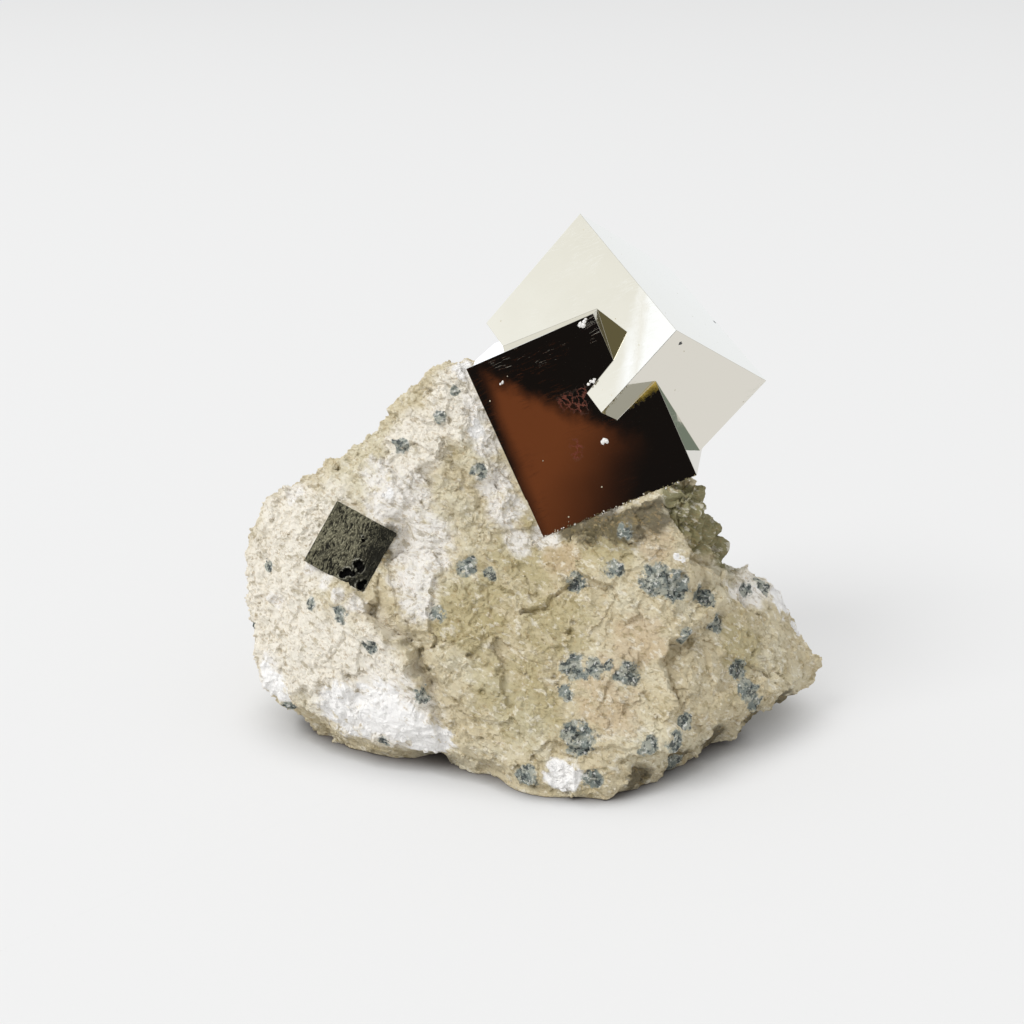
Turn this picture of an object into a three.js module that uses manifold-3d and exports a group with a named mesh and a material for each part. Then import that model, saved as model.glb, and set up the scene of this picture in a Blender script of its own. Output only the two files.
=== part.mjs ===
// A pyrite specimen: two intergrown pyrite crystals and one small cube in a block of pale marl.
// Millimetres, +Z up. The viewer's side is -Y, and the block rests on a flat underside at Z = 0.
import * as THREE from 'three';
import { ConvexGeometry } from 'three/addons/geometries/ConvexGeometry.js';
import { ImprovedNoise } from 'three/addons/math/ImprovedNoise.js';
import { mergeVertices } from 'three/addons/utils/BufferGeometryUtils.js';
import Module from 'manifold-3d';

const wasm = await Module();
wasm.setup();

const deg = THREE.MathUtils.degToRad;
const vec = (x, y, z) => new THREE.Vector3(x, y, z);

// Clear gap between a crystal and the stone that holds it.
const CLEARANCE = 0.3;

// Dark cube: the lower crystal. Its corner is the lower left one of its front face.
const DARK = {
  corner: vec(3.95, -4.07, 27.3),
  turn: new THREE.Euler(deg(-9.9), deg(-24.2), deg(-9.45)),
  width: 21.4,
  depth: 22,
  height: 23.8,
  upperWidth: 17.6,
  stepHeight: 14.6,
};

// Pale crystal: the upper one, lying across the dark cube. Its corner is its topmost one.
const PALE = {
  corner: vec(8.85, 12.65, 66),
  turn: new THREE.Euler(deg(4.6), deg(39.6), deg(-54.5)),
  length: 24.8,
  width: 21.2,
  deepHeight: 19.3,
  shallowHeight: 13.9,
  seam: 14,
};

// Small cube, set almost flush in the left shoulder. Its corner is the lower left front one.
const SMALL = {
  corner: vec(-26.5, -7, 25.3),
  turn: new THREE.Euler(deg(-23.8), deg(28.8), deg(-5.7)),
  edge: 8.7,
};

// The stone is a union of convex chunks, one for each bulge or shoulder of the broken block.
// All of them contain the heart, so the stone's surface is one radius in each direction from it.
const HEART = vec(1, 1, 17);
const UNDER = -1.5;
const CHUNKS = {
  body: [
    [-27, -7, UNDER], [-13, -13, UNDER], [11, -22, UNDER], [19, -16, UNDER], [23, 0, UNDER],
    [17, 20, UNDER], [-4, 24, UNDER], [-23, 17, UNDER], [-30, 4, UNDER],
    [-36.5, 2, 19], [-35, -3, 11], [-33, -6, 6], [-35.6, 3, 25], [-33.4, 4, 30.4],
    [-27.5, 3, 34.4], [-20.5, 3, 38.6], [-29, -7, 21], [-20, -12, 21], [-12, -14, 19],
    [-30, -9, 5], [-21, -13.6, 7], [-13, -16.5, 8], [-4, -14.5, 18], [4, -15.5, 16.5],
    [14, -16.5, 16], [12, -24.6, 2.6], [0, -19.5, 2], [18, -4, 27],
    [-30, 12, 15], [-22, 20, 20], [-6, 26, 24], [12, 26, 22], [22, 18, 18],
  ],
  peak: [
    [-9.5, 3, 49.2], [-5.5, 3, 49], [-15, 3, 42.2], [-7, -3, 41], [3.6, -4.4, 27.2],
    [-1, 10, 46], [3, 19, 40], [-10, 16, 40], [-18, -6, 30], [-20, 3, 38],
    [8, 6, 10], [-12, 10, 12], [18, 14, 28],
  ],
  back: [
    [-13, 15, 36], [-8, 21, 37.6], [3, 24, 36.4], [13, 23.5, 31], [22, 18, 24], [24, 9, 27],
    [-20, 17, 29], [-26, 14, 16], [-14, 25, 20], [2, 28, 24], [4, 28, 9], [-16, 23, 6],
    [16, 25, 18], [20, 20, 4], [6, -4, 20], [-12, -4, 20], [0, 0, 4],
  ],
  ridge: [
    [17, -8.4, 34], [22, -9, 29], [23, -10.5, 24], [23.6, 4, 33], [26.4, 4, 28.4], [29.4, 4, 23],
    [4, -5.2, 27], [18, -17, 16], [4, -14, 17], [-2, 6, 12], [6, 14, 28], [23, -6.4, 35.2],
  ],
  shelf: [
    [30, 3, 21], [35, 3, 19.4], [37.8, 3, 16.4], [40, 1, 12.6], [42.4, 0, 6.8], [41, 5, 7],
    [41, -1, 4.4], [36, -3, 2.6], [28, -10, 0.6], [22.5, -15.5, -0.6], [34, -9, 8.4], [26, -16, 7],
    [21.5, -20.5, 9.6], [22, -15, 18], [15, -22, 0],
    [28, -9, 19.6], [12, -23.4, 5], [8, -18, 12], [32, 12, 16], [34, 13, 6], [25, 19, 15], [25, 19, 3],
    [-2, 0, 8], [-2, 4, 24],
  ],
};
// Width over which two chunks run into each other.
const BLEND = 1.3;
const ROUGHNESS = [
  { wavelength: 11, height: 0.9 },
  { wavelength: 4.5, height: 0.45 },
];
const ROCK_DETAIL = 17;

// An outline in the local XZ plane, run along local Y from "front" to "back" and set in place.
function prism(outline, front, back, turn, corner) {
  const shape = new THREE.Shape(outline.map(([x, z]) => new THREE.Vector2(x, z)));
  const solid = new THREE.ExtrudeGeometry(shape, { depth: back - front, bevelEnabled: false });
  solid.rotateX(Math.PI / 2);
  solid.translate(0, back, 0);
  solid.applyMatrix4(new THREE.Matrix4().makeRotationFromEuler(turn));
  solid.translate(corner.x, corner.y, corner.z);
  return toSolid(solid);
}

const rectangle = (left, right, low, high) => [[left, low], [right, low], [right, high], [left, high]];

// A closed geometry as a solid that can be joined and cut.
function toSolid(geometry) {
  const bare = new THREE.BufferGeometry();
  bare.setAttribute('position', geometry.getAttribute('position').clone());
  if (geometry.index) bare.setIndex(geometry.index.clone());
  const merged = mergeVertices(bare, 1e-4);
  return new wasm.Manifold(new wasm.Mesh({
    numProp: 3,
    vertProperties: new Float32Array(merged.getAttribute('position').array),
    triVerts: new Uint32Array(merged.index.array),
  }));
}

function toGeometry(solid) {
  const mesh = solid.getMesh();
  const geometry = new THREE.BufferGeometry();
  geometry.setAttribute('position', new THREE.BufferAttribute(mesh.vertProperties.slice(), 3));
  geometry.setIndex(new THREE.BufferAttribute(mesh.triVerts.slice(), 1));
  geometry.computeVertexNormals();
  return geometry;
}

// The dark cube: a full-width lower block and a narrower upper block grown as one.
// "reach" widens it on every side, and "forward" lets a socket run out through the stone's face.
function darkCube(reach = 0, forward = 0) {
  const { corner, turn, width, depth, height, upperWidth, stepHeight } = DARK;
  const outline = [
    [-reach, -reach],
    [width + reach, -reach],
    [width + reach, stepHeight + reach],
    [upperWidth + reach, stepHeight + reach],
    [upperWidth + reach, height + reach],
    [-reach, height + reach],
  ];
  return prism(outline, -reach - forward, depth + reach, turn, corner);
}

// The pale crystal: a deep block at its far end and a shallower block at its near end.
function paleCrystal(reach = 0) {
  const { corner, turn, length, width, deepHeight, shallowHeight, seam } = PALE;
  const outline = [
    [-reach, reach],
    [-reach, -deepHeight - reach],
    [seam + reach, -deepHeight - reach],
    [seam + reach, -shallowHeight - reach],
    [length + reach, -shallowHeight - reach],
    [length + reach, reach],
  ];
  return prism(outline, -reach, width + reach, turn, corner);
}

function smallCube(reach = 0, forward = 0) {
  const { corner, turn, edge } = SMALL;
  const outline = rectangle(-reach, edge + reach, -reach, edge + reach);
  return prism(outline, -reach - forward, edge + reach, turn, corner);
}

// The outward planes of a convex chunk, each as a normal and its distance from the heart.
function chunkPlanes(points) {
  const hull = new ConvexGeometry(points.map(([x, y, z]) => vec(x, y, z).sub(HEART)));
  const position = hull.getAttribute('position');
  const planes = [];
  for (let i = 0; i < position.count; i += 3) {
    const [a, b, c] = [0, 1, 2].map((k) => new THREE.Vector3().fromBufferAttribute(position, i + k));
    const normal = b.clone().sub(a).cross(c.clone().sub(a)).normalize();
    planes.push({ normal, distance: normal.dot(a) });
  }
  return planes;
}

// How far a chunk reaches from the heart in a direction.
function reachOf(planes, direction) {
  const hits = planes.map(({ normal, distance }) => {
    const facing = normal.dot(direction);
    return facing > 1e-6 ? distance / facing : Infinity;
  });
  return Math.min(...hits);
}

// The largest of several reaches, run smoothly into the next where two are nearly equal.
function blended(reaches) {
  return BLEND * Math.log(reaches.reduce((sum, reach) => sum + Math.exp(reach / BLEND), 0));
}

// The broken block of marl, before its sockets are cut.
function roughBlock() {
  const chunks = Object.values(CHUNKS).map(chunkPlanes);
  const noise = new ImprovedNoise();
  const ball = new THREE.IcosahedronGeometry(1, ROCK_DETAIL);
  const position = ball.getAttribute('position');
  for (let i = 0; i < position.count; i += 1) {
    const direction = new THREE.Vector3().fromBufferAttribute(position, i).normalize();
    let radius = blended(chunks.map((planes) => reachOf(planes, direction)));
    const place = direction.clone().multiplyScalar(radius);
    for (const { wavelength, height } of ROUGHNESS) {
      const at = place.clone().divideScalar(wavelength);
      radius += height * noise.noise(at.x, at.y, at.z);
    }
    direction.multiplyScalar(radius).add(HEART);
    position.setXYZ(i, direction.x, direction.y, direction.z);
  }
  return toSolid(ball);
}

function marlMatrix() {
  const above = prism(rectangle(-60, 60, 0, 90), -60, 60, new THREE.Euler(), vec(0, 0, 0));
  const crystals = darkCube(CLEARANCE, 12).add(paleCrystal(CLEARANCE)).add(smallCube(CLEARANCE, 6));
  return roughBlock().intersect(above).subtract(crystals);
}

function named(name, solid, color, roughness, metalness) {
  const material = new THREE.MeshStandardMaterial({ color, roughness, metalness });
  const mesh = new THREE.Mesh(toGeometry(solid), material);
  mesh.name = name;
  return mesh;
}

const specimen = new THREE.Group();
specimen.add(named('marl_matrix', marlMatrix(), 0xb9ac8c, 0.95, 0));
specimen.add(named('intergrown_cubes', darkCube().add(paleCrystal()), 0xd8cfae, 0.12, 1));
specimen.add(named('small_cube', smallCube(), 0x8c866f, 0.35, 1));

// The origin is the middle of the specimen's footprint, on the surface it rests on.
const middle = new THREE.Box3().setFromObject(specimen).getCenter(new THREE.Vector3());
specimen.position.set(-middle.x, -middle.y, 0);

export default specimen;
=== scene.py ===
"""Looks of a pyrite specimen: two intergrown mirror crystals and a small cube in broken marl."""
import logging
import math
from dataclasses import dataclass, field
from enum import Enum
from typing import Callable

import bpy
import numpy as np
from mathutils import Euler, Matrix, Vector, noise
from mathutils.bvhtree import BVHTree


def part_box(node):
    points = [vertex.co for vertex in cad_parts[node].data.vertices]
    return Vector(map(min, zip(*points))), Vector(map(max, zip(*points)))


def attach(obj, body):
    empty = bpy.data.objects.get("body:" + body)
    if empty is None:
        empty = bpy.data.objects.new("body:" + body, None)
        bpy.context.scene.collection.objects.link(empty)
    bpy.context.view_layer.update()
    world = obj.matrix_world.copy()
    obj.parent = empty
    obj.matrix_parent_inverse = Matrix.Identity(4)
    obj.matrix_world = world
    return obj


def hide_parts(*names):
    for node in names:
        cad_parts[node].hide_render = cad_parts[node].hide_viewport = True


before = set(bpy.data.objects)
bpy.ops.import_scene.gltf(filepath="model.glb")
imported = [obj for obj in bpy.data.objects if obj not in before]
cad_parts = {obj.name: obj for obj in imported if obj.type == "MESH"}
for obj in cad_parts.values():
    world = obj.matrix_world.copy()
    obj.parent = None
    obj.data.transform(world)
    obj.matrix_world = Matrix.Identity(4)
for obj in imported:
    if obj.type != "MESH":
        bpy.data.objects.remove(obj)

log = logging.getLogger("pyrite_specimen")

MM = 0.001
BODY = "root"
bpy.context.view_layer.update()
NOISE_SEED = 7

Tree = bpy.types.NodeTree
Socket = bpy.types.NodeSocket
Piece = bpy.types.Object
Array = np.ndarray


class Node(Enum):
    """The CAD nodes that the looks stand for."""

    STONE = "marl_matrix"
    CRYSTALS = "intergrown_cubes"
    SMALL_CUBE = "small_cube"


class Slot(Enum):
    """The material slots."""

    MARL = "marl"
    POLISHED = "polished_pyrite"
    STRIATED = "striated_pyrite"


def linear(colour: str) -> tuple[float, float, float, float]:
    """Turns an sRGB hex colour into linear light.

    Args:
        colour: The colour as six hex digits.

    Returns:
        Red, green, blue and an alpha of one.
    """
    channels = [int(colour[i:i + 2], 16) / 255 for i in (0, 2, 4)]
    light = [c / 12.92 if c <= 0.04045 else ((c + 0.055) / 1.055) ** 2.4 for c in channels]
    return (*light, 1.0)


def add_node(tree: Tree, kind: str, settings: dict | None = None, **inputs) -> bpy.types.Node:
    """Adds a shader node with its settings and links.

    Args:
        tree: The node tree to add to.
        kind: The node's Blender type, without its "ShaderNode".
        settings: Values of the node's own properties.
        inputs: Socket name with "_" for a space, or "n" and its number, to a value or a socket to link.

    Returns:
        The new node.
    """
    node = tree.nodes.new("ShaderNode" + kind)
    for key, value in (settings or {}).items():
        setattr(node, key, value)
    for key, value in inputs.items():
        numbered = key[0] == "n" and key[1:].isdigit()
        socket = node.inputs[int(key[1:])] if numbered else node.inputs[key.replace("_", " ")]
        if isinstance(value, Socket):
            tree.links.new(value, socket)
        else:
            socket.default_value = value
    return node


def new_material(name: str) -> tuple[bpy.types.Material, Tree]:
    """Makes an empty node material.

    Args:
        name: The material's name.

    Returns:
        The material and its node tree.
    """
    material = bpy.data.materials.new(name)
    material.use_nodes = True
    material.node_tree.nodes.clear()
    return material, material.node_tree


def smoothstep(low: float, high: float, value: Array) -> Array:
    """Eases from 0 at low to 1 at high.

    Args:
        low: Where the result leaves 0.
        high: Where it reaches 1.
        value: The values to ease.

    Returns:
        The eased values.
    """
    share = np.clip((value - low) / (high - low), 0.0, 1.0)
    return share * share * (3.0 - 2.0 * share)


def hump(value: Array, middle: float, reach: float) -> Array:
    """A smooth hump: 1 at its middle, and about a third at its reach."""
    return np.exp(-((value - middle) / reach) ** 2)


def deselect() -> None:
    """Deselects every object, so that an operator acts on what is picked next."""
    bpy.ops.object.select_all(action="DESELECT")


def pick(piece: Piece) -> None:
    """Makes one object the only one selected, and the active one."""
    deselect()
    piece.select_set(True)
    bpy.context.view_layer.objects.active = piece


def apply_modifier(piece: Piece, kind: str, **settings) -> None:
    """Adds a modifier and applies it.

    Args:
        piece: The object to change.
        kind: The modifier's Blender type.
        settings: The modifier's properties.
    """
    modifier = piece.modifiers.new(kind.lower(), kind)
    for key, value in settings.items():
        setattr(modifier, key, value)
    pick(piece)
    bpy.ops.object.modifier_apply(modifier=modifier.name)


def edit(piece: Piece, operator: Callable, **settings) -> None:
    """Runs an operator on a whole mesh in edit mode.

    Args:
        piece: The object whose mesh is changed.
        operator: The Blender operator.
        settings: The operator's properties.
    """
    pick(piece)
    bpy.ops.object.mode_set(mode="EDIT")
    bpy.ops.mesh.select_all(action="SELECT")
    operator(**settings)
    bpy.ops.object.mode_set(mode="OBJECT")


def add_object(name: str, data: bpy.types.ID) -> Piece:
    """Adds an object with the given data to the scene."""
    piece = bpy.data.objects.new(name, data)
    bpy.context.scene.collection.objects.link(piece)
    return piece


def copy_of(node: Node, name: str) -> Piece:
    """Copies a CAD node's mesh into a new piece, with its doubles merged.

    Args:
        node: The CAD node to copy.
        name: The new piece's name.

    Returns:
        The new piece, riding on nothing yet.
    """
    piece = add_object(name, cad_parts[node.value].data.copy())
    piece.data.materials.clear()
    edit(piece, bpy.ops.mesh.remove_doubles, threshold=0.005 * MM)
    return piece


def points_of(piece: Piece) -> Array:
    """The piece's vertices in millimetres, one row each."""
    values = np.zeros(len(piece.data.vertices) * 3, np.float32)
    piece.data.vertices.foreach_get("co", values)
    return values.reshape(-1, 3).astype(float) / MM


def move_points(piece: Piece, points: Array) -> None:
    """Puts the piece's vertices at new places, in millimetres."""
    piece.data.vertices.foreach_set("co", (points * MM).astype(np.float32).ravel())
    piece.data.update()


def normals_of(piece: Piece) -> Array:
    """The piece's vertex normals, one row each."""
    values = np.zeros(len(piece.data.vertices) * 3, np.float32)
    piece.data.vertices.foreach_get("normal", values)
    return values.reshape(-1, 3).astype(float)


def store(piece: Piece, name: str, values: Array) -> None:
    """Writes one number for each vertex as a named attribute."""
    attribute = piece.data.attributes.new(name, "FLOAT", "POINT")
    attribute.data.foreach_set("value", values.astype(np.float32))


def stored(piece: Piece, name: str) -> Array:
    """Reads a named attribute, one number for each vertex."""
    values = np.zeros(len(piece.data.vertices), np.float32)
    piece.data.attributes[name].data.foreach_get("value", values)
    return values


def hand_over(piece: Piece, slot: Slot, *nodes: Node) -> None:
    """Parents a finished piece to the body and hides the CAD nodes that it replaces.

    Args:
        piece: The finished piece.
        slot: The slot that its finish follows; not used.
        nodes: The CAD nodes that it replaces.
    """
    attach(piece, BODY)
    if nodes:
        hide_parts(*(node.value for node in nodes))
    log.info("%s: %d faces", piece.name, len(piece.data.polygons))


@dataclass(frozen=True)
class Pose:
    """Where a crystal's own axes lie: its corner in millimetres, and its turns about X, Y and Z."""

    corner: tuple[float, float, float]
    turns: tuple[float, float, float]

    def rotation(self) -> Matrix:
        """The crystal's axes as a rotation."""
        return Euler([math.radians(turn) for turn in self.turns], "ZYX").to_matrix()

    def local(self, points: Array) -> Array:
        """Turns points of the frame into the crystal's own coordinates.

        Args:
            points: Places in the frame, in millimetres.

        Returns:
            The same places along the crystal's own axes.
        """
        return (points - np.array(self.corner)) @ np.array(self.rotation())

    def world(self, points: Array) -> Array:
        """Turns points on the crystal's own axes into the frame's.

        Args:
            points: Places along the crystal's own axes, in millimetres.

        Returns:
            The same places in the frame.
        """
        return points @ np.array(self.rotation()).T + np.array(self.corner)

    def mapping(self, tree: Tree, object_mm: Socket) -> Socket:
        """A socket with shading coordinates along the crystal's own axes.

        Args:
            tree: The material's node tree.
            object_mm: Object coordinates in millimetres.

        Returns:
            The socket that gives the crystal's own coordinates.
        """
        turned = self.rotation().to_euler("XYZ")
        node = add_node(
            tree, "Mapping", {"vector_type": "TEXTURE"},
            Vector=object_mm, Location=self.corner, Rotation=tuple(turned),
        )
        return node.outputs[0]


DARK_CUBE = Pose((1.19, -6.035, 27.3), (-9.9, -24.2, -9.45))
PALE_CRYSTAL = Pose((6.09, 10.685, 66.0), (4.6, 39.6, -54.5))
SMALL_CUBE_TURNS = (-23.8, 28.8, -5.7)


def object_millimetres(tree: Tree) -> Socket:
    """Object coordinates in millimetres, so that a texture's scale is one over its size.

    Args:
        tree: The material's node tree.

    Returns:
        The socket with the coordinates.
    """
    place = add_node(tree, "TexCoord")
    scaled = add_node(tree, "Mapping", Vector=place.outputs["Object"], Scale=(1 / MM, 1 / MM, 1 / MM))
    return scaled.outputs[0]


# ---------------------------------------------------------------------------------------------
# Finishes
# ---------------------------------------------------------------------------------------------


@dataclass(frozen=True)
class Stain:
    """One colour laid over the stone, where an attribute and a noise together pass a threshold.

    The noise's grain is in millimetres, ragged is how much it tears the attribute's rim, and the stain
    comes in from low to high, up to its share.
    """

    colour: str
    attribute: str | None
    grain: float
    ragged: float
    low: float
    high: float
    detail: float = 4.0
    share: float = 1.0


@dataclass(frozen=True)
class BrokenMarl:
    """Marl, a soft limy mudstone, as it breaks: matt and grainy, never shiny."""

    base: str = "D6C9A9"
    roughness: float = 0.93
    stains: tuple[Stain, ...] = (
        # Creamy and dusty patches about a centimetre across, then half a centimetre.
        Stain("E0D7BC", None, 9.0, 1.0, 0.46, 0.62),
        Stain("B5A67D", None, 5.0, 1.0, 0.54, 0.70, share=0.5),
        # Darker brown in the low places and paler on the high ones: partly clay and dust, partly painted
        # shade and painted highlight.
        Stain("7C6F50", "hollow", 1.0, 1.6, 0.45, 0.95, share=0.55),
        Stain("F2ECDB", "proud", 0.8, 1.8, 0.55, 1.00, share=0.45),
        Stain("FAF4E8", "pale", 3.0, 2.2, 0.10, 0.58, share=0.82),
        Stain("B0A370", "olive", 2.6, 3.0, 0.40, 0.90, share=0.50),
        Stain("C8AD8B", "ochre", 2.2, 3.0, 0.40, 0.90, share=0.45),
        Stain("7E7A50", "knobs", 1.8, 1.5, 0.06, 0.36, share=0.80),
        # A thin chalky dusting that lets the clay show through, and painted shade in dark brown, laid over
        # the dust.
        Stain("F9F5EF", "dust", 1.3, 3.6, 0.14, 0.78, 12.0, 0.88),
        Stain("F5EFDF", None, 0.8, 1.0, 0.54, 0.62, 6.0, 0.60),
        Stain("574E38", "damp", 1.4, 3.4, 0.08, 0.66, 10.0, 0.86),
        # Single grains: tan and darker clay.
        Stain("958459", None, 0.9, 1.0, 0.54, 0.63, 6.0, 0.48),
        Stain("B0966B", None, 0.45, 1.0, 0.55, 0.62, 4.0, 0.40),
        # A thick chalky crust with a ragged rim.
        Stain("FFFDFA", "crust", 1.6, 4.2, 0.32, 0.60, 12.0, 0.98),
    )
    # Bluish clay spots.
    spots: Stain = Stain("A8ABA0", "spots", 1.2, 3.8, 0.34, 0.62, 8.0, 0.88)
    # What a bluish spot is mixed from: darker slate grains, blue-grey ones and a few pale ones.
    spot_grains: tuple[Stain, ...] = (
        Stain("727C79", None, 1.0, 1.0, 0.45, 0.53, 4.0, 0.85),
        Stain("30373A", None, 0.7, 1.0, 0.52, 0.58, 4.0, 0.90),
        Stain("E9E8E1", None, 0.6, 1.0, 0.56, 0.62, 4.0, 0.85),
    )

    def build(self) -> bpy.types.Material:
        """Builds the stone's material.

        Returns:
            The material.
        """
        material, tree = new_material("broken_marl")
        place = object_millimetres(tree)
        combed = self.combed(tree, place)
        colour = linear(self.base)
        layers = [(stain.colour, self.mask(tree, combed, stain, n)) for n, stain in enumerate(self.stains)]
        spots = self.mask(tree, place, self.spots, len(layers))
        layers.append((self.spots.colour, spots))
        for grain in self.spot_grains:
            grains = self.mask(tree, place, grain, len(layers))
            inside = add_node(tree, "Math", {"operation": "MULTIPLY"}, n0=spots, n1=grains)
            layers.append((grain.colour, inside.outputs[0]))
        for shade, mask in layers:
            colour = add_node(
                tree, "Mix", {"data_type": "RGBA"}, n0=mask, n6=colour, n7=linear(shade)
            ).outputs[2]
        shader = add_node(
            tree, "BsdfPrincipled",
            Base_Color=colour, Roughness=self.roughness, Specular_IOR_Level=0.25,
            Normal=self.relief(tree, place, combed),
        )
        add_node(tree, "OutputMaterial", Surface=shader.outputs[0])
        return material

    @staticmethod
    def combed(tree: Tree, place: Socket) -> Socket:
        """Coordinates that stretch a texture along the bedding, which dips to the right.

        Args:
            tree: The material's node tree.
            place: Object coordinates in millimetres.

        Returns:
            The socket with the stretched coordinates.
        """
        node = add_node(
            tree, "Mapping", {"vector_type": "TEXTURE"},
            Vector=place, Rotation=(0.0, 0.45, 0.0), Scale=(1.5, 1.1, 0.75),
        )
        return node.outputs[0]

    @staticmethod
    def mask(tree: Tree, place: Socket, stain: Stain, number: int) -> Socket:
        """Where a stain shows, from 0 to 1.

        Args:
            tree: The material's node tree.
            place: Object coordinates in millimetres.
            stain: The stain.
            number: Its number, which gives it a noise of its own.

        Returns:
            The socket with the mask.
        """
        cloud = add_node(
            tree, "TexNoise", {"noise_dimensions": "4D"},
            Vector=place, W=3.7 * number + 1.3, Scale=1 / stain.grain, Detail=stain.detail, Roughness=0.6,
        )
        level = cloud.outputs["Fac"]
        if stain.attribute:
            spread = add_node(tree, "Attribute", {"attribute_name": stain.attribute})
            torn = add_node(
                tree, "Math", {"operation": "MULTIPLY_ADD"},
                n0=level, n1=stain.ragged, n2=1.0 - 0.5 * stain.ragged,
            ).outputs[0]
            level = add_node(
                tree, "Math", {"operation": "MULTIPLY"}, n0=torn, n1=spread.outputs["Fac"]
            ).outputs[0]
        shown = add_node(
            tree, "MapRange", {"interpolation_type": "SMOOTHSTEP"},
            Value=level, From_Min=stain.low, From_Max=stain.high, To_Max=stain.share,
        )
        return shown.outputs[0]

    @staticmethod
    def relief(tree: Tree, place: Socket, combed: Socket) -> Socket:
        """Grain too fine for the mesh: crumbs of half a millimetre and streaky silt of a fifth.

        Args:
            tree: The material's node tree.
            place: Object coordinates in millimetres.
            combed: The same coordinates, stretched along the bedding.

        Returns:
            The socket with the normal.
        """
        normal = None
        for where, size, height, detail in ((place, 1.1, 0.42, 8.0), (combed, 0.42, 0.32, 5.0)):
            cloud = add_node(tree, "TexNoise", Vector=where, Scale=1 / size, Detail=detail, Roughness=0.65)
            links = {"Normal": normal} if normal else {}
            normal = add_node(
                tree, "Bump",
                Height=cloud.outputs["Fac"], Distance=height * MM, Strength=1.0, **links,
            ).outputs[0]
        return normal


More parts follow.
